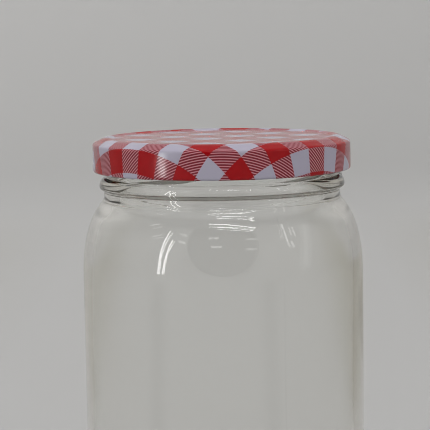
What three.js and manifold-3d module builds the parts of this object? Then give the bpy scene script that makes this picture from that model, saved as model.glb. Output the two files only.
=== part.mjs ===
// A round clear-glass storage jar with its twist-off metal lid resting on the rim.
// Millimetres, +Z up. The origin is the middle of the base, on the surface the jar stands on.
// Angles round the axis are in degrees from the front (-Y), growing towards +X.
import * as THREE from "three";
import { mergeVertices } from "three/addons/utils/BufferGeometryUtils.js";
import Module from "manifold-3d";

const wasm = await Module();
wasm.setup();

// Driving dimensions
const overallHeight = 139.8; // to the crest of the lid
const bodyRadius = 46.55;
const wall = 3.0; // side wall of the glass
const lidRadius = 42.7;
const lidHeight = 11.2; // from the rolled edge to the crest
const startCount = 5; // thread starts on the neck, and lugs in the lid
const turnSegments = 72; // flats round each turned shape
const weld = 1e-3; // points closer than this are one

// Heights that follow from them
const lidEdgeZ = overallHeight - lidHeight;
const seatGap = 0.3; // between the rim and the sealing ring it carries

// Base and heel of the jar
const base = {
  puntHeight: 2.5,
  puntArc: 70, // degrees of the punt's arc, from the bearing ring inwards
  bearingInner: 35.5, // flat ring that the jar stands on
  bearingOuter: 39.0,
  heelRise: 8.5,
  floorZ: 7.0,
  floorCorner: 8.0,
};

// Shoulder: part of a squared ellipse between the straight body and the neck
const shoulder = {
  centerZ: lidEdgeZ - 34.6,
  rise: 29.9,
  reach: 19.2,
  squareness: 2.37, // 2 would be a plain ellipse
};

// Neck, with the carrying bead under the lid and the rim that the lid seals on
const neck = {
  rootRadius: 39.2, // between the shoulder and the bead
  threadRadius: 38.6, // under the lid
  boreRadius: 36.2,
  beadRadius: 40.75,
  beadLowZ: lidEdgeZ - 6.0,
  beadWideZ: lidEdgeZ - 5.0,
  beadTopZ: lidEdgeZ - 1.8,
  beadUnderArc: 70, // degrees of the bead's two arcs, below and above its widest ring
  beadOverArc: 70,
  undercut: 0.5, // rise of the bead's underside
};

// Helical thread lengths on the neck
const thread = {
  firstAngle: -56.5, // low end of the first one
  span: 50,
  proud: 1.25,
  width: 2.7,
  sunk: 0.6, // root buried in the neck
  lowZ: lidEdgeZ - 2.1,
  slope: 5.9, // degrees
  steps: 12,
  taper: 0.3, // share of the length that fades out at each end
  endFade: -0.35, // start of the fade, below 0 so that the tips keep some height
  flat: 0.25, // half of the crest, as a share of half of the width
  flank: 0.8, // the same for the middle of the flanks
};

// Lid, from the panel outwards and down
const lid = {
  sheet: 0.5,
  panelDrop: 0.5, // panel below the crest
  stepInner: 36.0,
  crestInner: 37.4,
  crestOuter: 38.3,
  coneInner: 39.6,
  coneDrop: 0.35, // crest to the top of the sloped ring
  skirtTopDrop: 2.35, // crest to the top of the straight skirt
  cornerRadius: 0.7,
  coneSlope: 27, // degrees
  curl: 1.6, // thickness of the rolled edge
  sealInner: 35.0,
  sealOuter: 40.4,
  sealDrop: 1.3, // crest to the underside of the sealing ring
};

const lug = {
  halfAngle: 6,
  tipRadius: 39.0,
  rootRadius: 41.6,
  lowZ: lidEdgeZ + 0.15,
  height: 1.2,
  edge: 0.2, // share of the height that the tip is set in, below and above
  cornerPull: 0.5, // how far the tip's corners draw back to the root
  cornerPower: 4,
  steps: 4,
};

// Straight pieces along each rounded stretch of the outlines
const roundSteps = {
  punt: 3, heel: 5, shoulder: 8, bead: 3, rim: 5, innerShoulder: 7, floor: 4, curl: 7, corner: 4,
};

const rimTopZ = overallHeight - lid.sealDrop - seatGap;
const startPitch = 360 / startCount;

// Points of an elliptical arc in the (radius, height) plane, angles in degrees
function arc(centerR, centerZ, radiusR, radiusZ, from, to, steps) {
  const turn = THREE.MathUtils.degToRad;
  const curve = new THREE.EllipseCurve(
    centerR, centerZ, radiusR, radiusZ, turn(from), turn(to), to < from,
  );
  return curve.getPoints(steps);
}

function point(radius, height) {
  return new THREE.Vector2(radius, height);
}

// Turns a (radius, height) outline round the Z axis
function turned(outline) {
  return new THREE.LatheGeometry(outline, turnSegments).rotateX(Math.PI / 2);
}

// A place on the neck or lid from its angle, radius and height
function polar(angle, radius, height) {
  const a = THREE.MathUtils.degToRad(angle);
  return new THREE.Vector3(radius * Math.sin(a), -radius * Math.cos(a), height);
}

function solidFrom(geometry) {
  const bare = geometry.index ? geometry.toNonIndexed() : geometry.clone();
  bare.deleteAttribute("normal");
  bare.deleteAttribute("uv");
  const merged = mergeVertices(bare, weld);
  return new wasm.Manifold(new wasm.Mesh({
    numProp: 3,
    vertProperties: merged.attributes.position.array,
    triVerts: new Uint32Array(merged.index.array),
  }));
}

function geometryFrom(solid) {
  const mesh = solid.getMesh();
  return new THREE.BufferGeometry()
    .setAttribute("position", new THREE.BufferAttribute(mesh.vertProperties, 3))
    .setIndex(new THREE.BufferAttribute(mesh.triVerts, 1));
}

// A closed solid through rings of points, each ring listed the same way round
function lofted(rings) {
  const size = rings[0].length;
  const positions = rings.flat().flatMap((p) => p.toArray());
  const faces = [];
  for (let i = 0; i + 1 < rings.length; i++) {
    for (let j = 0; j < size; j++) {
      const a = i * size + j;
      const b = i * size + ((j + 1) % size);
      faces.push(a, a + size, b, b, a + size, b + size);
    }
  }
  const last = (rings.length - 1) * size;
  for (let j = 1; j + 1 < size; j++) {
    faces.push(0, j, j + 1);
    faces.push(last, last + j + 1, last + j);
  }
  return new THREE.BufferGeometry()
    .setAttribute("position", new THREE.Float32BufferAttribute(positions, 3))
    .setIndex(faces);
}

// The shoulder's curve from the body up to a radius, for the outside or for the inside
function shoulderCurve(reach, rise, topRadius, steps) {
  const axis = bodyRadius - shoulder.reach;
  const power = 2 / shoulder.squareness;
  const end = Math.acos(((topRadius - axis) / reach) ** (1 / power));
  const points = [];
  for (let i = 0; i <= steps; i++) {
    const a = (end * i) / steps;
    const radius = axis + reach * Math.cos(a) ** power;
    points.push(point(radius, shoulder.centerZ + rise * Math.sin(a) ** power));
  }
  return points;
}

// Outline of the glass: under the base, up the outside, over the rim and down the inside
function glassOutline() {
  const heelReach = bodyRadius - base.bearingOuter;
  const outerShoulder = shoulderCurve(
    shoulder.reach, shoulder.rise, neck.rootRadius, roundSteps.shoulder,
  );
  const innerShoulder = shoulderCurve(
    shoulder.reach - wall, shoulder.rise - wall, neck.boreRadius, roundSteps.innerShoulder,
  );
  const innerRadius = bodyRadius - wall;
  const rimHalf = (neck.threadRadius - neck.boreRadius) / 2;
  const beadReach = neck.beadRadius - neck.rootRadius;
  const beadInset = neck.beadRadius - neck.threadRadius;
  const beadUnder = neck.beadWideZ - neck.beadLowZ;
  const beadOver = neck.beadTopZ - neck.beadWideZ;
  return [
    point(0, base.puntHeight),
    ...arc(0, 0, base.bearingInner, base.puntHeight, base.puntArc, 0, roundSteps.punt),
    ...arc(base.bearingOuter, base.heelRise, heelReach, base.heelRise, -90, 0, roundSteps.heel),
    ...outerShoulder,
    point(neck.rootRadius, neck.beadLowZ - neck.undercut),
    ...arc(neck.rootRadius, neck.beadWideZ, beadReach, beadUnder, -neck.beadUnderArc, 0,
      roundSteps.bead),
    ...arc(neck.threadRadius, neck.beadWideZ, beadInset, beadOver, 90 - neck.beadOverArc, 90,
      roundSteps.bead),
    ...arc(neck.threadRadius - rimHalf, rimTopZ - rimHalf, rimHalf, rimHalf, 0, 180,
      roundSteps.rim),
    ...innerShoulder.reverse(),
    ...arc(innerRadius - base.floorCorner, base.floorZ + base.floorCorner,
      base.floorCorner, base.floorCorner, 0, -90, roundSteps.floor),
    point(0, base.floorZ),
  ];
}

// One thread length: a rounded ridge that climbs the neck and fades at both ends
function threadRidge(lowAngle) {
  const rings = [];
  const climb = Math.tan(THREE.MathUtils.degToRad(thread.slope));
  for (let i = 0; i <= thread.steps; i++) {
    const along = i / thread.steps;
    const angle = lowAngle + along * thread.span;
    const arcLength = neck.threadRadius * THREE.MathUtils.degToRad(along * thread.span);
    const middle = thread.lowZ + arcLength * climb;
    const near = Math.min(along, 1 - along) / thread.taper;
    const full = THREE.MathUtils.smoothstep(near, thread.endFade, 1);
    const half = (thread.width / 2) * full;
    const root = neck.threadRadius - thread.sunk;
    const crest = neck.threadRadius + thread.proud * full;
    const mid = (neck.threadRadius + crest) / 2;
    rings.push([
      polar(angle, root, middle - half),
      polar(angle, mid, middle - thread.flank * half),
      polar(angle, crest, middle - thread.flat * half),
      polar(angle, crest, middle + thread.flat * half),
      polar(angle, mid, middle + thread.flank * half),
      polar(angle, root, middle + half),
    ]);
  }
  return lofted(rings);
}

function glassJar() {
  let glass = solidFrom(turned(glassOutline()));
  for (let i = 0; i < startCount; i++) {
    glass = glass.add(solidFrom(threadRidge(thread.firstAngle + i * startPitch)));
  }
  return geometryFrom(glass);
}

// Outline of the lid: out under the panel, down inside, round the rolled edge and back over the top
function lidOutline() {
  const crestZ = overallHeight;
  const panelZ = crestZ - lid.panelDrop;
  const skirtTopZ = crestZ - lid.skirtTopDrop;
  const cornerAxis = lidRadius - lid.cornerRadius;
  const inner = lidRadius - lid.sheet;
  const curlRadius = lid.curl / 2;
  const curlAxis = lidRadius - curlRadius;
  const sealZ = crestZ - lid.sealDrop;
  return [
    point(0, panelZ - lid.sheet),
    point(lid.sealInner - lid.sheet, panelZ - lid.sheet),
    point(lid.sealInner, sealZ),
    point(lid.sealOuter, sealZ),
    point(inner, skirtTopZ - lid.sheet),
    point(inner, lidEdgeZ + lid.curl),
    ...arc(curlAxis, lidEdgeZ + curlRadius, curlRadius, curlRadius, 90, 360,
      roundSteps.curl),
    ...arc(cornerAxis, skirtTopZ, lid.cornerRadius, lid.cornerRadius, 0, 90 - lid.coneSlope,
      roundSteps.corner),
    point(lid.coneInner, crestZ - lid.coneDrop),
    point(lid.crestOuter, crestZ),
    point(lid.crestInner, crestZ),
    point(lid.stepInner, panelZ),
    point(0, panelZ),
  ];
}

// One lug: a tab pressed in from the rolled edge
function lugTab(middleAngle) {
  const reach = lug.rootRadius - lug.tipRadius;
  const rings = [];
  for (let i = 0; i <= lug.steps; i++) {
    const share = (2 * i) / lug.steps - 1;
    const angle = middleAngle + share * lug.halfAngle;
    const tip = lug.tipRadius + lug.cornerPull * reach * Math.abs(share) ** lug.cornerPower;
    rings.push([
      polar(angle, lug.rootRadius, lug.lowZ),
      polar(angle, lug.rootRadius, lug.lowZ + lug.height),
      polar(angle, tip, lug.lowZ + (1 - lug.edge) * lug.height),
      polar(angle, tip, lug.lowZ + lug.edge * lug.height),
    ]);
  }
  return lofted(rings);
}

function metalLid() {
  let cap = solidFrom(turned(lidOutline()));
  const gapMiddle = thread.firstAngle - (startPitch - thread.span) / 2;
  for (let i = 0; i < startCount; i++) {
    cap = cap.add(solidFrom(lugTab(gapMiddle + i * startPitch)));
  }
  return geometryFrom(cap);
}

const clearGlass = new THREE.MeshStandardMaterial({
  color: 0xdfe6e0, roughness: 0.05, metalness: 0, transparent: true, opacity: 0.35,
});
const checkedEnamel = new THREE.MeshStandardMaterial({
  color: 0xb5323a, roughness: 0.25, metalness: 0.1,
});

const jar = new THREE.Group();
for (const [name, geometry, material] of [
  ["glass_jar", glassJar(), clearGlass],
  ["metal_lid", metalLid(), checkedEnamel],
]) {
  const mesh = new THREE.Mesh(geometry, material);
  mesh.name = name;
  jar.add(mesh);
}

export default jar;
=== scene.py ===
import math
import bpy
import numpy as np
from mathutils import Matrix, Vector


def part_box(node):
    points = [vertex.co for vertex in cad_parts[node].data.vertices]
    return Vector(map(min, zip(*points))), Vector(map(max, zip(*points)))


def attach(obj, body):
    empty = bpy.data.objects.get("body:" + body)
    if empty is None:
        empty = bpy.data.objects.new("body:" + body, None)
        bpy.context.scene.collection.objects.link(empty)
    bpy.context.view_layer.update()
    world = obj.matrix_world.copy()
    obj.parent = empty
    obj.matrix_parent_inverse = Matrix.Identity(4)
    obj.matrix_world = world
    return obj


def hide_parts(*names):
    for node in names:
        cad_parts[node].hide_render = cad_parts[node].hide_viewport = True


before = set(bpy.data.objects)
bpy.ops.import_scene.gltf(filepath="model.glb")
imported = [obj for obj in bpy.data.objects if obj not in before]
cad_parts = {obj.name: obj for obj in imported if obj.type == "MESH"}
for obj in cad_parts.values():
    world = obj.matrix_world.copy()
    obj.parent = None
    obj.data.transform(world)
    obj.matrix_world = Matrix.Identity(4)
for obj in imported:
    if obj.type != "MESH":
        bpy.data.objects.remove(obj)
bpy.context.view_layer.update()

# shapes are worked out in millimetres, and Blender gets metres
mm = 0.001
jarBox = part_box("glass_jar")
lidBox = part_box("metal_lid")
bodyRadius = jarBox[1].x / mm
lidRadius = lidBox[1].x / mm
lidEdge = lidBox[0].z / mm
lidCrest = lidBox[1].z / mm
scene = bpy.context.scene
scene.view_settings.view_transform = "Standard"
scene.cycles.filter_width = 1.0  # keeps the print's fine lines
scene.cycles.max_bounces = 20  # light goes round inside the glass wall
scene.cycles.glossy_bounces = 12
scene.cycles.transmission_bounces = 20
print("frame loaded, jar", round(2 * bodyRadius, 2), "mm across")


# turned shapes

def arcPoints(centre, radii, start, end, count):
    a = np.radians(np.linspace(start, end, count))
    return np.column_stack((centre[0] + radii[0] * np.cos(a), centre[1] + radii[1] * np.sin(a)))


def linePoints(start, end, count):
    return np.linspace(start, end, count)


def joined(*stretches):
    return np.concatenate(stretches)


def softened(points, spacing, passes):
    # even spacing, then rounds the corners off and keeps the two ends
    steps = np.hypot(*np.diff(points, axis=0).T)
    along = np.concatenate(([0], np.cumsum(steps)))
    count = int(along[-1] / spacing) + 2
    places = np.linspace(0, along[-1], count)
    even = np.column_stack([np.interp(places, along, points[:, k]) for k in (0, 1)])
    for _ in range(passes):
        even[1:-1] = (even[:-2] + 2 * even[1:-1] + even[2:]) / 4
    return even


def smoothStep(x, low, high):
    t = np.clip((x - low) / (high - low), 0, 1)
    return t * t * (3 - 2 * t)


def turnAngles(count, finerAt=(), reach=1.5, finerSteps=12):
    # degrees from the front, growing towards +X, closer together at the places in finerAt
    angles = set(np.round(np.arange(count) * 360 / count, 4))
    for place in finerAt:
        angles |= set(np.round((place + np.linspace(-reach, reach, finerSteps)) % 360, 4))
    return np.array(sorted(angles))


def placedMesh(name, points, faces, smooth=True):
    mesh = bpy.data.meshes.new(name)
    mesh.from_pydata(points, [], faces)
    mesh.polygons.foreach_set("use_smooth", np.full(len(faces), smooth))
    mesh.update()
    piece = bpy.data.objects.new(name, mesh)
    scene.collection.objects.link(piece)
    return piece


def turnedMesh(name, radius, height, angles):
    # radius and height are grids, one row for each outline point, whose end rows lie on the axis
    rows, columns = radius.shape
    a = np.radians(angles)
    grid = np.stack((radius * np.sin(a), -radius * np.cos(a), height), axis=-1)[1:-1]
    ends = np.array([[0, 0, height[0, 0]], [0, 0, height[-1, 0]]])
    points = np.concatenate((grid.reshape(-1, 3), ends)) * mm
    first = np.arange((rows - 3) * columns).reshape(rows - 3, columns)
    beside = np.roll(first, -1, axis=1)
    quads = np.stack((first, beside, beside + columns, first + columns), axis=-1).reshape(-1, 4)
    faces = [tuple(q) for q in quads.tolist()]
    bottom, top = len(points) - 2, len(points) - 1
    last = (rows - 3) * columns
    for j in range(columns):
        k = (j + 1) % columns
        faces.append((bottom, k, j))
        faces.append((top, last + j, last + k))
    return placedMesh(name, points.tolist(), faces)


# node helpers

def newMaterial(name):
    material = bpy.data.materials.new(name)
    material.use_nodes = True
    return material, material.node_tree.nodes["Principled BSDF"]


def addNode(tree, kind, links=None, **settings):
    node = tree.nodes.new(kind)
    for key, value in settings.items():
        setattr(node, key, value)
    for socket, source in (links or {}).items():
        if isinstance(source, bpy.types.NodeSocket):
            tree.links.new(source, node.inputs[socket])
        else:
            node.inputs[socket].default_value = source
    return node


def maths(tree, operation, a, b=0.0, c=0.0):
    return addNode(tree, "ShaderNodeMath", {0: a, 1: b, 2: c}, operation=operation).outputs[0]


def mixedColor(tree, factor, a, b):
    node = addNode(tree, "ShaderNodeMix", {"Factor": factor}, data_type="RGBA")
    for socket, source in ((node.inputs[6], a), (node.inputs[7], b)):
        if isinstance(source, bpy.types.NodeSocket):
            tree.links.new(source, socket)
        else:
            socket.default_value = (*source, 1)
    return node.outputs[2]


def ranged(tree, value, low, high, toLow=0.0, toHigh=1.0):
    links = {"Value": value, "From Min": low, "From Max": high, "To Min": toLow, "To Max": toHigh}
    return addNode(tree, "ShaderNodeMapRange", links).outputs[0]


def noise(tree, place, scale, detail=2.0, roughness=0.5):
    links = {"Vector": place, "Scale": scale, "Detail": detail, "Roughness": roughness}
    return addNode(tree, "ShaderNodeTexNoise", links).outputs["Fac"]


# glass jar

jarGlass = {
    "wall": 3.0,
    "puntHeight": 2.5,
    "bearingInner": 35.5,
    "bearingOuter": 39.0,
    "bearingEase": 0.5,     # rounding at both edges of the bearing ring
    "heelRise": 8.5,
    "floorZ": 7.0,
    "floorCorner": 8.0,
    "shoulderCentre": lidEdge - 34.6,
    "shoulderRise": 29.9,
    "shoulderReach": 19.2,
    "squareness": 2.37,     # 2 would be a plain ellipse
    "blend": 4.0,           # left free where a straight wall meets a curve
    "neckRadius": 39.2,
    "neckDrop": 2.2,        # straight length under the bead
    "threadRadius": 38.6,
    "boreRadius": 36.2,
    "beadRadius": 40.75,
    "beadLow": lidEdge - 6.0,
    "beadWide": lidEdge - 5.1,
    "beadTop": lidEdge - 1.8,
    "beadUndercut": 0.3,
    "threadOverlap": 1.2,   # of the thread's lower end with the bead
    "rimTop": lidCrest - 1.6,
    "knurlCount": 72,
    "knurlDepth": 0.25,
    "segments": 288,
}

# rows of the mesh lie closer where the glass bends light most
jarRows = {
    "ringReach": 0.8,
    "closeFrom": lidEdge - 13,
    "closeStep": 2,
    "openStep": 8,
    "innerCloseFrom": lidEdge - 24,
    "innerOpenStep": 3,
}

neckThread = {
    "starts": 5,
    "firstAngle": -56.5,
    "span": 50,
    "proud": 1.45,
    "width": 2.9,
    "roundness": 0.75,
    "lowZ": lidEdge - 2.1,
    "slope": 5.9,
    "taper": 0.3,
    "endFade": -0.35,
}

mouldSeam = {
    "angles": (24.5, 204.5),
    "proud": 0.06,
    "width": 0.22,          # degrees
    "low": (1.0, 6.0),      # fades in above the base
    "top": lidEdge - 6.5,
    "ringZ": lidEdge - 9.2,  # line that the neck mould leaves round the jar
    "ringStep": 0.25,
    "ringProud": 0.22,
    "ringWidth": 0.24,
}

# the neck is thicker at the sides and back, which lets the light out of the wall again
neckSwell = {
    "amount": 0.8,
    "rise": (lidEdge - 16.6, lidEdge - 9.6),
    "fall": (lidEdge - 7.6, lidEdge + 1.4),
    "sides": (36, 72),      # degrees from the front
}

# blown glass is never quite even in thickness
wallWave = {
    "outer": 0.08,
    "inner": 0.35,
    "innerTurn": 77,        # degrees
    "low": (6, 22),
    "high": (lidEdge - 24, lidEdge - 10),
    # share, waves round the jar, rise for one radian, start
    "parts": ((0.5, 1, 55, 0.9), (0.3, 2, 31, 2.1), (0.14, 3, -17, 0), (0.06, 7, 11, 0.4)),
}


def shoulderCurve(count):
    # from the body up to the neck
    g = jarGlass
    reach, rise = g["shoulderReach"], g["shoulderRise"]
    axis = bodyRadius - reach
    power = 2 / g["squareness"]
    a = np.linspace(0, math.acos(((g["neckRadius"] - axis) / reach) ** (1 / power)), count)
    return np.column_stack((axis + reach * np.cos(a) ** power,
                            g["shoulderCentre"] + rise * np.sin(a) ** power))


def insetCurve(points, depth):
    # the same curve at an even depth inside, so that the wall has parallel faces
    along = np.gradient(points, axis=0)
    along /= np.hypot(*along.T)[:, None]
    return points + depth * np.column_stack((-along[:, 1], along[:, 0]))


def jarOutline():
    g = jarGlass
    heelReach = bodyRadius - g["bearingOuter"]
    innerRadius = bodyRadius - g["wall"]
    rim = (g["threadRadius"] - g["boreRadius"]) / 2
    rimAxis = g["threadRadius"] - rim
    neckLow = g["beadLow"] - g["beadUndercut"]
    straightTop = g["shoulderCentre"] - g["blend"]
    under = joined(
        arcPoints((0, 0), (g["bearingInner"], g["puntHeight"]), 90, 0, 26),
        linePoints((g["bearingInner"] + g["bearingEase"], 0), (g["bearingOuter"] - g["bearingEase"], 0), 6),
    )
    heel = joined(
        arcPoints((g["bearingOuter"], g["heelRise"]), (heelReach, g["heelRise"]), -90, 0, 16),
        linePoints((bodyRadius, g["heelRise"] + g["blend"]), (bodyRadius, straightTop), 12),
    )
    upper = joined(
        shoulderCurve(80),
        linePoints((g["neckRadius"], neckLow - g["neckDrop"]), (g["neckRadius"], neckLow), 4),
        arcPoints((g["neckRadius"], g["beadWide"]),
                  (g["beadRadius"] - g["neckRadius"], g["beadWide"] - g["beadLow"]), -70, 0, 12),
        arcPoints((g["threadRadius"], g["beadWide"]),
                  (g["beadRadius"] - g["threadRadius"], g["beadTop"] - g["beadWide"]), 10, 90, 14),
    )
    finish = joined(
        linePoints((g["threadRadius"], g["beadTop"] + 0.3), (g["threadRadius"], g["rimTop"] - rim), 28),
        arcPoints((rimAxis, g["rimTop"] - rim), (rim, rim), 12, 168, 12),
    )
    cornerAxis = innerRadius - g["floorCorner"]
    cornerTop = g["floorZ"] + g["floorCorner"]
    shoulder = shoulderCurve(80)
    neckTop = (g["neckRadius"], g["rimTop"] - rim)
    wallLine = softened(joined(shoulder, linePoints(shoulder[-1] + (0, 0.5), neckTop, 30)), 0.5, 6)
    inside = joined(
        insetCurve(wallLine, g["wall"])[::-1],
        linePoints((innerRadius, straightTop), (innerRadius, cornerTop + g["blend"]), 20),
        arcPoints((cornerAxis, cornerTop), (g["floorCorner"], g["floorCorner"]), 0, -90, 14),
        linePoints((cornerAxis - g["blend"] / 2, g["floorZ"]), (0, g["floorZ"]), 14),
    )
    upper = softened(upper, 0.125, 20)
    row, z = np.arange(len(upper)), upper[:, 1]
    atRing = np.abs(z - mouldSeam["ringZ"]) < jarRows["ringReach"]
    close = (z > jarRows["closeFrom"]) & (row % jarRows["closeStep"] == 0)
    outer = joined(under, heel, upper[atRing | close | (row % jarRows["openStep"] == 0)], finish)
    inner = softened(inside, 1.0, 4)
    row, z = np.arange(len(inner)), inner[:, 1]
    kept = (z > jarRows["innerCloseFrom"]) | (row % jarRows["innerOpenStep"] == 0)
    kept[0] = kept[-1] = True
    return joined(outer, inner[kept]), len(outer)


def threadRelief(z, angles):
    t = neckThread
    pitch = 360 / t["starts"]
    along = ((angles - t["firstAngle"]) % pitch) / t["span"]
    climb = jarGlass["threadRadius"] * math.tan(math.radians(t["slope"]))
    middle = t["lowZ"] + climb * np.radians(along * t["span"])
    full = smoothStep(np.minimum(along, 1 - along) / t["taper"], t["endFade"], 1)
    full = np.where(along <= 1, full, 0)
    half = np.maximum(full * t["width"] / 2, 1e-6)
    across = np.clip(np.abs(z[:, None] - middle) / half, 0, 1)
    return t["proud"] * full * np.cos(across * math.pi / 2) ** t["roundness"]


def seamRelief(z, angles):
    m = mouldSeam
    ridge = 0
    for place in m["angles"]:
        away = (angles - place + 180) % 360 - 180
        ridge = ridge + m["proud"] * np.exp(-((away / m["width"]) ** 2))
    ringSide = np.where(((angles - m["angles"][0]) % 360) < 180, 0.5, -0.5) * m["ringStep"]
    ringPlace = (z[:, None] - m["ringZ"] - ringSide) / m["ringWidth"]
    onSide = smoothStep(z, *m["low"]) * (z < m["top"])
    return onSide[:, None] * (ridge + m["ringProud"] * np.exp(-(ringPlace ** 2)))


def swellRelief(z, angles):
    n = neckSwell
    fromFront = np.abs((angles + 180) % 360 - 180)
    rise = smoothStep(z, *n["rise"]) * (1 - smoothStep(z, *n["fall"]))
    return n["amount"] * rise[:, None] * smoothStep(fromFront, *n["sides"])


def wallUnevenness(z, angles, depth):
    w = wallWave
    a = np.radians(angles)
    wave = 0
    for share, count, rise, start in w["parts"]:
        wave = wave + share * np.sin(count * a + z[:, None] / rise + start)
    within = smoothStep(z, *w["low"]) * (1 - smoothStep(z, *w["high"]))
    return depth * within[:, None] * wave


def makeJarGlass():
    g = jarGlass
    outline, outerCount = jarOutline()
    angles = turnAngles(g["segments"], mouldSeam["angles"])
    z = outline[:, 1]
    radius = np.repeat(outline[:, :1], len(angles), axis=1)
    height = np.repeat(outline[:, 1:], len(angles), axis=1)
    outer = (np.arange(len(outline)) < outerCount)[:, None]
    aboveBead = (z > g["beadTop"] - g["threadOverlap"])[:, None]
    radius = radius + outer * (threadRelief(z, angles) * aboveBead + seamRelief(z, angles))
    radius = radius + outer * wallUnevenness(z, angles, wallWave["outer"])
    innerWave = wallUnevenness(z, angles + wallWave["innerTurn"], wallWave["inner"])
    radius = radius + ~outer * (innerWave - swellRelief(z, angles))
    onRing = (outline[:, 0] >= g["bearingInner"]) & (outline[:, 0] <= g["bearingOuter"]) & (z < 0.1)
    knurl = 0.5 - 0.5 * np.cos(np.radians(angles) * g["knurlCount"])
    height = height + (onRing[:, None] & outer) * g["knurlDepth"] * knurl
    radius[0] = radius[-1] = 0
    piece = turnedMesh("jar_glass", radius, height, angles)
    piece.data.materials.append(clearGlass())
    piece.visible_shadow = False  # light goes through clear glass
    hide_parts("glass_jar")
    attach(piece, "root")
    return piece


glassFinish = {
    "ior": 1.52,
    "color": (0.985, 0.99, 0.985, 1),
    "absorbColor": (0.56, 0.475, 0.31, 1),
    "absorbDensity": 20.0,
    "filmScale": 38.0,
    "filmRoughness": 0.03,
    "rippleScale": 55.0,
    "rippleDepth": 0.000012,
}


def clearGlass():
    material, shader = newMaterial("jar_flint")
    tree = material.node_tree
    shader.inputs["Base Color"].default_value = glassFinish["color"]
    shader.inputs["Transmission Weight"].default_value = 1.0
    shader.inputs["IOR"].default_value = glassFinish["ior"]
    place = addNode(tree, "ShaderNodeTexCoord").outputs["Object"]
    film = noise(tree, place, glassFinish["filmScale"], 3.0)
    roughness = ranged(tree, film, 0.5, 0.8, 0.0, glassFinish["filmRoughness"])
    tree.links.new(roughness, shader.inputs["Roughness"])
    ripple = noise(tree, place, glassFinish["rippleScale"], 1.0)
    bump = addNode(tree, "ShaderNodeBump", {"Height": ripple, "Strength": 1.0,
                                            "Distance": glassFinish["rippleDepth"]})
    tree.links.new(bump.outputs[0], shader.inputs["Normal"])
    absorb = addNode(tree, "ShaderNodeVolumeAbsorption", {"Color": glassFinish["absorbColor"],
                                                          "Density": glassFinish["absorbDensity"]})
    tree.links.new(absorb.outputs[0], tree.nodes["Material Output"].inputs["Volume"])
    return material


# metal lid

lidCap = {
    "sheet": 0.25,
    "panelDrop": 0.5,
    "stepInner": 36.0,
    "crestInner": 37.4,
    "crestOuter": 38.3,
    "coneInner": 39.6,
    "coneDrop": 0.35,
    "skirtTopDrop": 2.35,
    "cornerRadius": 0.7,
    "coneSlope": 27,
    "curl": 1.6,
    "sealInner": 35.0,
    "sealOuter": 40.4,
    "sealDrop": 1.3,
    "grooveDepth": 0.25,    # pressed into the seal by the rim
    "segments": 288,
}

lidLug = {"halfAngle": 6.5, "reach": 2.0, "sharpness": 5}


def lidOutlines():
    c = lidCap
    panelZ = lidCrest - c["panelDrop"]
    skirtTop = lidCrest - c["skirtTopDrop"]
    inner = lidRadius - c["sheet"]
    curl = c["curl"] / 2
    curlAxis = lidRadius - curl
    sealZ = lidCrest - c["sealDrop"]
    corner = lidRadius - c["cornerRadius"]
    underPanel = panelZ - c["sheet"]
    lacquer = linePoints((0, underPanel), (c["sealInner"] - 1, underPanel), 12)
    seal = softened(joined(
        linePoints((c["sealInner"] - 0.6, underPanel), (c["sealInner"], sealZ), 3),
        linePoints((c["sealInner"] + 1.4, sealZ), (c["sealInner"] + 2.4, sealZ + c["grooveDepth"]), 3),
        linePoints((c["sealInner"] + 3.2, sealZ), (c["sealOuter"], sealZ), 4),
        linePoints((c["sealOuter"] + 0.5, sealZ + 0.1), (inner - 0.3, skirtTop), 3),
    ), 0.25, 3)
    inside = linePoints((inner, skirtTop - c["sheet"]), (inner, lidEdge + c["curl"] + 0.3), 10)
    rolled = arcPoints((curlAxis, lidEdge + curl), (curl, curl), 80, 345, 22)
    outside = softened(joined(
        linePoints((lidRadius, lidEdge + curl), (lidRadius, skirtTop), 22),
        arcPoints((corner, skirtTop), (c["cornerRadius"],) * 2, 0, 90 - c["coneSlope"], 8),
        linePoints((c["coneInner"], lidCrest - c["coneDrop"]), (c["crestOuter"], lidCrest), 4),
        linePoints((c["crestInner"], lidCrest), (c["stepInner"], panelZ), 5),
        linePoints((c["stepInner"] - 0.5, panelZ), (c["stepInner"] - 3, panelZ), 4),
    ), 0.22, 4)
    panel = linePoints((c["stepInner"] - 3.5, panelZ), (0, panelZ), 14)
    return [lacquer, seal, inside, rolled, outside, panel]


def printRadius(outline):
    # distance from the middle along the sheet, before the lid was drawn
    c = lidCap
    steps = np.hypot(*np.diff(outline[::-1], axis=0).T)
    along = np.concatenate(([0], np.cumsum(steps)))[::-1]
    fromSkirtTop = np.abs(outline[:, 1] - (lidCrest - c["skirtTopDrop"]))
    onSkirt = outline[:, 0] > lidRadius - c["sheet"]
    flatEnd = along[np.argmin(np.where(onSkirt, fromSkirtTop, np.inf))]
    panelEnd, drawnEnd = c["stepInner"], checkPrint["skirtTop"]
    beyond = lidCrest - lidEdge + c["curl"] * math.pi
    return np.interp(along, (0, panelEnd, flatEnd, flatEnd + beyond),
                     (0, panelEnd, drawnEnd, drawnEnd + beyond))


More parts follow.
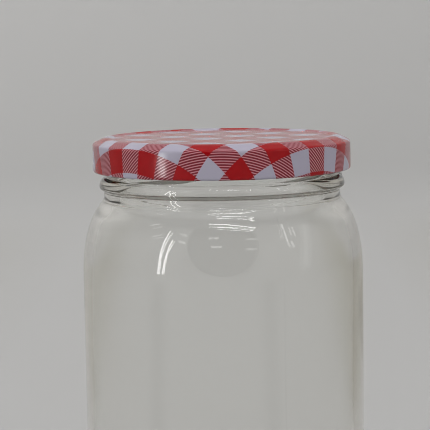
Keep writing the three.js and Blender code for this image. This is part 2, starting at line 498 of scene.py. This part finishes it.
def makeLidCap():
    c = lidCap
    stretches = lidOutlines()
    finishes = [1, 2, 1, 0, 0, 0]  # of each stretch: 0 is the print, 1 the lacquer, 2 the seal
    outline = joined(*stretches)
    rowFinish = np.concatenate([[f] * len(s) for f, s in zip(finishes, stretches)])
    angles = turnAngles(c["segments"])
    radius = np.repeat(outline[:, :1], len(angles), axis=1)
    height = np.repeat(outline[:, 1:], len(angles), axis=1)
    pitch = 360 / neckThread["starts"]
    gapMiddle = neckThread["firstAngle"] - (pitch - neckThread["span"]) / 2
    away = ((angles - gapMiddle + pitch / 2) % pitch - pitch / 2) / lidLug["halfAngle"]
    lugShare = np.clip(1 - np.abs(away) ** lidLug["sharpness"], 0, 1)
    curlAxis = lidRadius - c["curl"] / 2
    onCurl = (outline[:, 1] < lidEdge + c["curl"]) & (outline[:, 0] < curlAxis)
    inward = np.clip((curlAxis - outline[:, 0]) / (c["curl"] / 2), 0, 1) ** 0.5
    radius = radius - (onCurl * inward)[:, None] * lidLug["reach"] * lugShare
    radius[0] = radius[-1] = 0
    piece = turnedMesh("lid_cap", radius, height, angles)
    mesh = piece.data
    flat = printRadius(outline)[:, None] * np.ones(len(angles))
    a = np.radians(angles - checkPrint["turn"])
    place = np.stack((flat * np.sin(a), -flat * np.cos(a), flat * 0), axis=-1)[1:-1].reshape(-1, 3)
    place = np.concatenate((place, np.zeros((2, 3))))
    attribute = mesh.attributes.new("printPlace", "FLOAT_VECTOR", "POINT")
    attribute.data.foreach_set("vector", place.astype(np.float32).ravel())
    columns = len(angles)
    faceFinish = np.concatenate((np.repeat(rowFinish[2:-1], columns),
                                 np.tile((rowFinish[0], rowFinish[-1]), columns)))
    for material in (checkedEnamel(), insideLacquer(), sealCompound()):
        mesh.materials.append(material)
    mesh.polygons.foreach_set("material_index", faceFinish.astype(np.int32))
    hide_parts("metal_lid")
    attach(piece, "root")
    return piece


checkPrint = {
    "stripe": 7.75,       # width of one stripe on the flat sheet
    "firstEdge": 4.5,     # a stripe edge on the axis that runs to the left front
    "secondEdge": 5.0,    # and on the one that runs to the right front
    "turn": 0.85,         # degrees round the lid
    "waver": 0.08,        # of the stripes' edges
    "edgeSoftness": 0.035,
    "skirtTop": 44.0,     # flat radius of the print at the top of the skirt
    "hatchPitch": 0.83,
    "hatchShare": 0.38,   # above 0 the red lines are wider than the gaps
    "hatchTurn": 1.5,     # degrees between the fine lines and the checks
    "hatchSoftness": 0.15,
    "red": (0.405, 0.003, 0.006),
    "deepRed": (0.35, 0.002, 0.005),
    "hatchRed": (0.215, 0.022, 0.034),
    "hatchGap": (0.62, 0.262, 0.30),   # pinkish between the fine lines
    "white": (0.467, 0.44, 0.542),
    "specular": 0.20,
    "roughness": (0.11, 0.24),
    "coat": 0.12,
    "coatRoughness": 0.10,
    "skinDepth": 0.00003,
}


def checkedEnamel():
    p = checkPrint
    material, shader = newMaterial("lid_checks")
    tree = material.node_tree
    place = addNode(tree, "ShaderNodeAttribute", attribute_name="printPlace").outputs["Vector"]
    split = addNode(tree, "ShaderNodeSeparateXYZ", {0: place})
    x, y = split.outputs[0], split.outputs[1]
    waver = ranged(tree, noise(tree, place, 1.6), 0.0, 1.0, -p["waver"], p["waver"])
    diagonal = math.sqrt(0.5)
    towardsLeft = maths(tree, "MULTIPLY", maths(tree, "ADD", x, y), -diagonal)
    towardsRight = maths(tree, "MULTIPLY", maths(tree, "SUBTRACT", x, y), diagonal)

    def stripes(along, edge, side):
        fromEdge = maths(tree, "SUBTRACT", maths(tree, "ADD", along, waver), edge)
        turns = maths(tree, "MULTIPLY", fromEdge, math.pi / p["stripe"])
        soft = p["edgeSoftness"] * side
        return ranged(tree, maths(tree, "SINE", turns), -soft, soft)

    first = stripes(towardsLeft, p["firstEdge"], -1)
    second = stripes(towardsRight, p["secondEdge"], 1)
    lean = math.tan(math.radians(p["hatchTurn"]))
    across = maths(tree, "MULTIPLY_ADD", x, lean, y)
    lines = maths(tree, "SINE", maths(tree, "MULTIPLY", across, 2 * math.pi / p["hatchPitch"]))
    hatch = ranged(tree, maths(tree, "ADD", lines, p["hatchShare"]), -p["hatchSoftness"], p["hatchSoftness"])
    both = maths(tree, "MULTIPLY", first, second)
    either = maths(tree, "MAXIMUM", first, second)
    ink = maths(tree, "MAXIMUM", both, maths(tree, "MULTIPLY", either, hatch))
    density = ranged(tree, noise(tree, place, 0.35, 4.0), 0.3, 0.7)
    red = mixedColor(tree, both, p["hatchRed"], mixedColor(tree, density, p["deepRed"], p["red"]))
    ground = mixedColor(tree, either, p["white"], p["hatchGap"])
    tree.links.new(mixedColor(tree, ink, ground, red), shader.inputs["Base Color"])
    shader.inputs["Specular IOR Level"].default_value = p["specular"]
    shader.inputs["Coat Weight"].default_value = p["coat"]
    shader.inputs["Coat Roughness"].default_value = p["coatRoughness"]
    smear = noise(tree, place, 0.25, 3.0)
    tree.links.new(ranged(tree, smear, 0.3, 0.7, *p["roughness"]), shader.inputs["Roughness"])
    skin = noise(tree, place, 1.1, 2.0)
    bump = addNode(tree, "ShaderNodeBump", {"Height": skin, "Strength": 0.25, "Distance": p["skinDepth"]})
    tree.links.new(bump.outputs[0], shader.inputs["Normal"])
    return material


lacquerFinish = {
    "dark": (0.86, 0.85, 0.81),
    "light": (0.90, 0.89, 0.85),
    "roughness": (0.25, 0.38),
    "coat": 0.4,
}


def insideLacquer():
    q = lacquerFinish
    material, shader = newMaterial("lid_lacquer")
    tree = material.node_tree
    place = addNode(tree, "ShaderNodeTexCoord").outputs["Object"]
    tone = ranged(tree, noise(tree, place, 90.0, 3.0), 0.3, 0.7)
    tree.links.new(mixedColor(tree, tone, q["dark"], q["light"]), shader.inputs["Base Color"])
    grain = noise(tree, place, 240.0)
    tree.links.new(ranged(tree, grain, 0.3, 0.7, *q["roughness"]), shader.inputs["Roughness"])
    shader.inputs["Coat Weight"].default_value = q["coat"]
    return material


sealFinish = {
    "dark": (0.60, 0.58, 0.53),
    "light": (0.68, 0.66, 0.61),
    "roughness": 0.55,
    "softness": 0.1,
    "grainScale": 700.0,
    "grainDepth": 0.0001,
}


def sealCompound():
    q = sealFinish
    material, shader = newMaterial("lid_seal")
    tree = material.node_tree
    place = addNode(tree, "ShaderNodeTexCoord").outputs["Object"]
    grain = noise(tree, place, q["grainScale"], 2.0)
    tone = ranged(tree, grain, 0.35, 0.65)
    tree.links.new(mixedColor(tree, tone, q["dark"], q["light"]), shader.inputs["Base Color"])
    shader.inputs["Roughness"].default_value = q["roughness"]
    shader.inputs["Subsurface Weight"].default_value = q["softness"]
    bump = addNode(tree, "ShaderNodeBump", {"Height": grain, "Strength": 0.3, "Distance": q["grainDepth"]})
    tree.links.new(bump.outputs[0], shader.inputs["Normal"])
    return material


# sweep, lights and camera

# its shape in millimetres, the reach of its tones in metres
paperSweep = {
    "floorRadius": 1500.0,
    "floorZ": -0.1,
    "bend": 800.0,
    "wallHeight": 2200.0,
    "floorTone": (0.605, 0.602, 0.597),
    "wallTone": (0.93, 0.926, 0.918),
    "nearTone": 0.88,        # of the floor close to the jar, painted shade round the jar
    "nearReach": (0.1, 1.0),
    "contactShadowTone": 0.72,     # and right under it, a painted contact shadow
    "contactShadowReach": (0.036, 0.075),
    "leftLift": 0.12,        # brighter to the left, for each metre: painted light from the left
    "sideTone": (0.88, 0.865, 0.81),    # of the floor behind the jar, to either side: painted shade
    "sideReach": (0.11, 0.24),
    "behindReach": (0.04, 0.20),
    "behindEnd": (1.1, 0.8),
    "edgeTone": (0.76, 0.745, 0.68),    # and further out, where the line along the wall looks: painted shade too
    "edgeAngles": (26, 34),
    "leftShare": 0.65,                  # of both on the left
}


def makePaperSweep():
    s = paperSweep
    wallRadius = s["floorRadius"] + s["bend"]
    outline = joined(
        linePoints((0, s["floorZ"]), (s["floorRadius"] - 50, s["floorZ"]), 16),
        arcPoints((s["floorRadius"], s["bend"] + s["floorZ"]), (s["bend"], s["bend"]), -90, 0, 24),
        linePoints((wallRadius, s["bend"] + 100), (wallRadius, s["wallHeight"]), 8),
    )
    angles = turnAngles(96)
    radius = np.repeat(outline[:, :1], len(angles), axis=1)
    height = np.repeat(outline[:, 1:], len(angles), axis=1)
    a = np.radians(angles)
    points = np.stack((radius * np.sin(a), radius * -np.cos(a), height), axis=-1).reshape(-1, 3) * mm
    rows, columns = radius.shape
    first = np.arange((rows - 1) * columns).reshape(rows - 1, columns)
    beside = np.roll(first, -1, axis=1)
    faces = np.stack((first, first + columns, beside + columns, beside), axis=-1).reshape(-1, 4)
    sweep = placedMesh("paper_sweep", points.tolist(), faces.tolist())
    sweep.data.materials.append(sweepPaper())


def sweepPaper():
    s = paperSweep
    material, shader = newMaterial("sweep_paper")
    tree = material.node_tree
    place = addNode(tree, "ShaderNodeTexCoord").outputs["Object"]
    x, y, rise = addNode(tree, "ShaderNodeSeparateXYZ", {0: place}).outputs
    # painted light: the paper is lighter up the wall than on the floor, which lifts the wall
    share = ranged(tree, rise, 0.0, s["bend"] * mm)
    paper = mixedColor(tree, share, s["floorTone"], s["wallTone"])
    # painted shade: the floor goes darker beside the view, which draws the edges of the glass
    fromMiddle = maths(tree, "ABSOLUTE", x)
    side = ranged(tree, fromMiddle, *s["sideReach"])
    behind = maths(tree, "MULTIPLY", ranged(tree, y, *s["behindReach"]), ranged(tree, y, *s["behindEnd"]))
    aside = maths(tree, "SUBTRACT", fromMiddle, bodyRadius * mm)
    outward = ranged(tree, maths(tree, "ARCTAN2", aside, y), *np.radians(s["edgeAngles"]))
    leftTones = [[1 + (t - 1) * s["leftShare"] for t in s[tone]] for tone in ("sideTone", "edgeTone")]
    leftTone = mixedColor(tree, outward, *leftTones)
    rightTone = mixedColor(tree, outward, s["sideTone"], s["edgeTone"])
    sideTone = mixedColor(tree, ranged(tree, x, -0.1, 0.1), leftTone, rightTone)
    tone = mixedColor(tree, maths(tree, "MULTIPLY", side, behind), (1, 1, 1), sideTone)
    shaded = addNode(tree, "ShaderNodeMix", {"Factor": 1.0, 6: paper, 7: tone}, data_type="RGBA",
                     blend_type="MULTIPLY").outputs[2]
    # painted light: the floor lighter to the left
    lift = ranged(tree, x, -0.5, 0.5, 1 + s["leftLift"] / 2, 1 - s["leftLift"] / 2)
    away = addNode(tree, "ShaderNodeVectorMath", {0: place}, operation="LENGTH").outputs["Value"]
    # painted shade: the floor darker close to the jar
    lift = maths(tree, "MULTIPLY", lift, ranged(tree, away, *s["nearReach"], s["nearTone"]))
    # painted contact shadow: the floor darker right under the jar
    contact = ranged(tree, away, *s["contactShadowReach"], s["contactShadowTone"])
    contact.node.interpolation_type = "SMOOTHERSTEP"
    lift = maths(tree, "MULTIPLY", lift, contact)
    lifted = addNode(tree, "ShaderNodeVectorMath", {0: shaded, 3: lift}, operation="SCALE").outputs[0]
    tree.links.new(lifted, shader.inputs["Base Color"])
    shader.inputs["Roughness"].default_value = 0.9
    shader.inputs["Specular IOR Level"].default_value = 0.1
    return material


# start and end in metres, from where the photograph's streaks on the shoulder look
stripLights = {
    "rowNearA": {"start": (-0.26, -0.55, 1.66), "end": (0.31, -0.53, 1.66), "width": 0.03, "glow": 10},
    "rowNearBend": {"start": (0.31, -0.53, 1.66), "end": (0.55, -0.32, 1.66), "width": 0.03, "glow": 8},
    "rowNearB": {"start": (-0.13, -0.75, 1.66), "end": (0.65, -0.72, 1.66), "width": 0.03, "glow": 12},
    "rowNearC": {"start": (-0.11, -0.88, 1.66), "end": (0.72, -0.91, 1.66), "width": 0.03, "glow": 12},
    "rowFrontA": {"start": (-0.34, -1.27, 1.66), "end": (0.98, -1.48, 1.66), "width": 0.035, "glow": 16},
    "rowFrontB": {"start": (-0.15, -1.51, 1.66), "end": (1.01, -1.74, 1.66), "width": 0.035, "glow": 14},
    "leftStripA": {"start": (-1.31, -0.98, 0.07), "end": (-1.26, -1.05, 1.29), "width": 0.038, "glow": 11},
    "leftStripB": {"start": (-1.25, -1.07, 0.07), "end": (-1.14, -1.18, 0.91), "width": 0.032, "glow": 11},
    "rightStripA": {"start": (1.43, -0.79, 1.50), "end": (1.36, -0.91, 0.73), "width": 0.06, "glow": 4},
    "rightStripB": {"start": (1.42, -0.82, 0.71), "end": (1.43, -0.79, 0.53), "width": 0.06, "glow": 3},
    "rightStripC": {"start": (1.52, -0.59, 1.19), "end": (1.49, -0.67, 0.83), "width": 0.05, "glow": 3},
    "rowFarA": {"start": (-0.41, -1.74, 1.19), "end": (-0.10, -1.74, 1.19), "width": 0.07, "glow": 2},
    "rowFarB": {"start": (-0.31, -1.74, 0.81), "end": (-0.02, -1.75, 0.80), "width": 0.07, "glow": 2},
    "rowFarC": {"start": (0.67, -1.73, 1.13), "end": (1.03, -1.72, 1.16), "width": 0.07, "glow": 1.5},
    "rowFarD": {"start": (0.65, -1.73, 0.73), "end": (0.93, -1.74, 0.74), "width": 0.07, "glow": 1.5},
    "rowLeftA": {"start": (-1.58, -0.42, 1.28), "end": (-1.51, -0.63, 1.55), "width": 0.05, "glow": 3},
    "rowLeftB": {"start": (-1.48, -0.69, 0.88), "end": (-1.37, -0.90, 1.03), "width": 0.05, "glow": 2},
    "rowLeftC": {"start": (-1.06, -1.25, 1.20), "end": (-0.92, -1.36, 1.19), "width": 0.07, "glow": 2},
    "rowLeftD": {"start": (-1.04, -1.27, 0.90), "end": (-0.89, -1.38, 0.85), "width": 0.07, "glow": 2},
    "rightGlow": {"start": (1.52, -0.56, 0.10), "end": (1.62, -0.18, 1.10), "width": 0.22, "glow": 0.5},
}

lightAim = Vector((0, 0, 0.11))


def makeStripLight(name, start, end, width, glow):
    start, end = Vector(start), Vector(end)
    light = bpy.data.lights.new(name, "AREA")
    light.shape = "RECTANGLE"
    light.size = (end - start).length
    light.size_y = width
    light.energy = glow * light.size * light.size_y * math.pi
    lamp = bpy.data.objects.new(name, light)
    along = (end - start).normalized()
    back = (start + end) / 2 - lightAim
    back = (back - along * back.dot(along)).normalized()
    turn = Matrix((along, back.cross(along), back)).transposed().to_4x4()
    lamp.matrix_world = Matrix.Translation((start + end) / 2) @ turn
    lamp.visible_camera = False
    scene.collection.objects.link(lamp)
    return lamp


# glint down the skirt of the lid, from a strip that lights the lid alone
skirtGlint = {"start": (-0.98, -0.66, 0.03), "end": (-0.90, -0.77, 0.03), "width": 0.10, "glow": 19}


def makeSkirtGlint(lid):
    lamp = makeStripLight("skirtGlint", **skirtGlint)
    lamp.visible_diffuse = False
    lit = bpy.data.collections.new("skirt_glint_on")
    lit.objects.link(lid)
    lamp.light_linking.receiver_collection = lit


# a dark sheet on the floor that only gloss shows, a painted reflection of shade, for the soft upright bands
# in the glass
floorShades = {
    "left": {"start": -64, "end": -41, "near": 0.22, "far": 1.3},
    "right": {"start": 25, "end": 47, "near": 0.22, "far": 1.3},
}
shadeSheet = {"tone": (0.02, 0.02, 0.02, 1), "columns": 17, "rows": 9, "height": 0.002, "farFade": 0.4}


def makeFloorShade(name, start, end, near, far):
    # start and end in degrees from the front, near and far in metres
    s = shadeSheet
    across, along = np.meshgrid(np.linspace(0, 1, s["columns"]), np.linspace(0, 1, s["rows"]))
    a = np.radians(start + (end - start) * across)
    reach = near + (far - near) * along
    height = np.full_like(a, s["height"])
    points = np.stack((reach * np.sin(a), -reach * np.cos(a), height), axis=-1).reshape(-1, 3)
    place = np.arange(a.size).reshape(a.shape)
    corners = (place[:-1, :-1], place[1:, :-1], place[1:, 1:], place[:-1, 1:])
    faces = np.stack(corners, axis=-1).reshape(-1, 4)
    shade = placedMesh("floor_shade_" + name, points.tolist(), faces.tolist(), smooth=False)
    cover = np.sin(across * math.pi) ** 2 * smoothStep(1 - along, 0, s["farFade"])
    shade.data.attributes.new("cover", "FLOAT", "POINT").data.foreach_set("value", cover.ravel())
    # painted shade, a dark sheet seen only in the glass's reflection
    material, shader = newMaterial("painted_shade_reflection_" + name)
    tree = material.node_tree
    shader.inputs["Base Color"].default_value = s["tone"]
    shader.inputs["Roughness"].default_value = 1.0
    shader.inputs["Specular IOR Level"].default_value = 0.0
    cover = addNode(tree, "ShaderNodeAttribute", attribute_name="cover").outputs["Fac"]
    tree.links.new(cover, shader.inputs["Alpha"])
    shade.data.materials.append(material)
    for ray in ("camera", "diffuse", "transmission", "shadow"):
        setattr(shade, "visible_" + ray, False)


overheadLight = {"height": 2.3, "size": 2.2, "glow": 1.2}


def makeOverheadLight():
    # soft light from above that the glass doesn't mirror
    o = overheadLight
    light = bpy.data.lights.new("overhead", "AREA")
    light.size = o["size"]
    light.energy = o["glow"] * o["size"] ** 2 * math.pi
    lamp = bpy.data.objects.new("overhead", light)
    lamp.location = (0, 0, o["height"])
    lamp.visible_camera = False
    lamp.visible_glossy = False
    lamp.visible_transmission = False
    scene.collection.objects.link(lamp)


# a dark card behind the camera, which the shoulder mirrors as a soft dark oval
darkFlag = {
    "distance": 1.8,
    "halfWidth": 1.08,
    "low": 0.06,
    "high": 2.2,
    "lowRound": 0.85,     # 1 would be an ellipse, less is squarer
    "highRound": 0.55,
    "tone": (0.035, 0.028, 0.02, 1),
    "points": 64,
}


def makeDarkFlag():
    f = darkFlag
    points = []
    for k in range(f["points"]):
        a = 2 * math.pi * k / f["points"]
        corner = f["highRound"] if math.sin(a) > 0 else f["lowRound"]
        x = math.copysign(abs(math.cos(a)) ** corner, math.cos(a)) * f["halfWidth"]
        z = math.copysign(abs(math.sin(a)) ** corner, math.sin(a)) * (f["high"] - f["low"]) / 2
        points.append((x, -f["distance"], (f["low"] + f["high"]) / 2 + z))
    flag = placedMesh("dark_flag", points, [tuple(range(f["points"]))], smooth=False)
    material, shader = newMaterial("flag_felt")
    shader.inputs["Base Color"].default_value = f["tone"]
    shader.inputs["Roughness"].default_value = 1.0
    flag.data.materials.append(material)
    flag.visible_camera = False


roomLight = {"low": 0.43, "lowRise": 0.62, "high": 0.40, "tint": (1.0, 0.998, 0.995)}


def makeRoomLight():
    world = bpy.data.worlds.new("room_light")
    world.use_nodes = True
    scene.world = world
    tree = world.node_tree
    direction = addNode(tree, "ShaderNodeTexCoord").outputs["Generated"]
    rise = addNode(tree, "ShaderNodeSeparateXYZ", {0: direction}).outputs[2]
    links = {"Value": rise, "From Min": roomLight["lowRise"], "To Min": roomLight["low"],
             "To Max": roomLight["high"]}
    strength = addNode(tree, "ShaderNodeMapRange", links, interpolation_type="SMOOTHSTEP").outputs[0]
    background = tree.nodes["Background"]
    background.inputs["Color"].default_value = (*roomLight["tint"], 1)
    tree.links.new(strength, background.inputs["Strength"])


viewCamera = {
    "place": (0, -0.650, 0.1848),
    "pitch": 6.274,   # degrees down
    "roll": 0.894,
    "pan": 0.217,     # to the left, which moves the jar to the right of the middle
    "lens": 164.45,
}


def makeCamera():
    v = viewCamera
    data = bpy.data.cameras.new("view_camera")
    data.sensor_width = 36.0
    data.lens = v["lens"]
    data.clip_start = 0.01
    camera = bpy.data.objects.new("view_camera", data)
    turn = Matrix.Rotation(math.radians(90 - v["pitch"]), 4, "X")
    turn = turn @ Matrix.Rotation(math.radians(v["pan"]), 4, "Y")
    turn = turn @ Matrix.Rotation(math.radians(-v["roll"]), 4, "Z")
    camera.matrix_world = Matrix.Translation(v["place"]) @ turn
    scene.collection.objects.link(camera)
    scene.camera = camera


makeCamera()
makePaperSweep()
makeRoomLight()
makeDarkFlag()
makeOverheadLight()
for name, strip in stripLights.items():
    makeStripLight(name, **strip)
for name, shade in floorShades.items():
    makeFloorShade(name, **shade)
print("stage, lights and camera placed")

jar = makeJarGlass()
print("glass jar made,", len(jar.data.polygons), "faces")
cap = makeLidCap()
makeSkirtGlint(cap)
print("lid made,", len(cap.data.polygons), "faces")
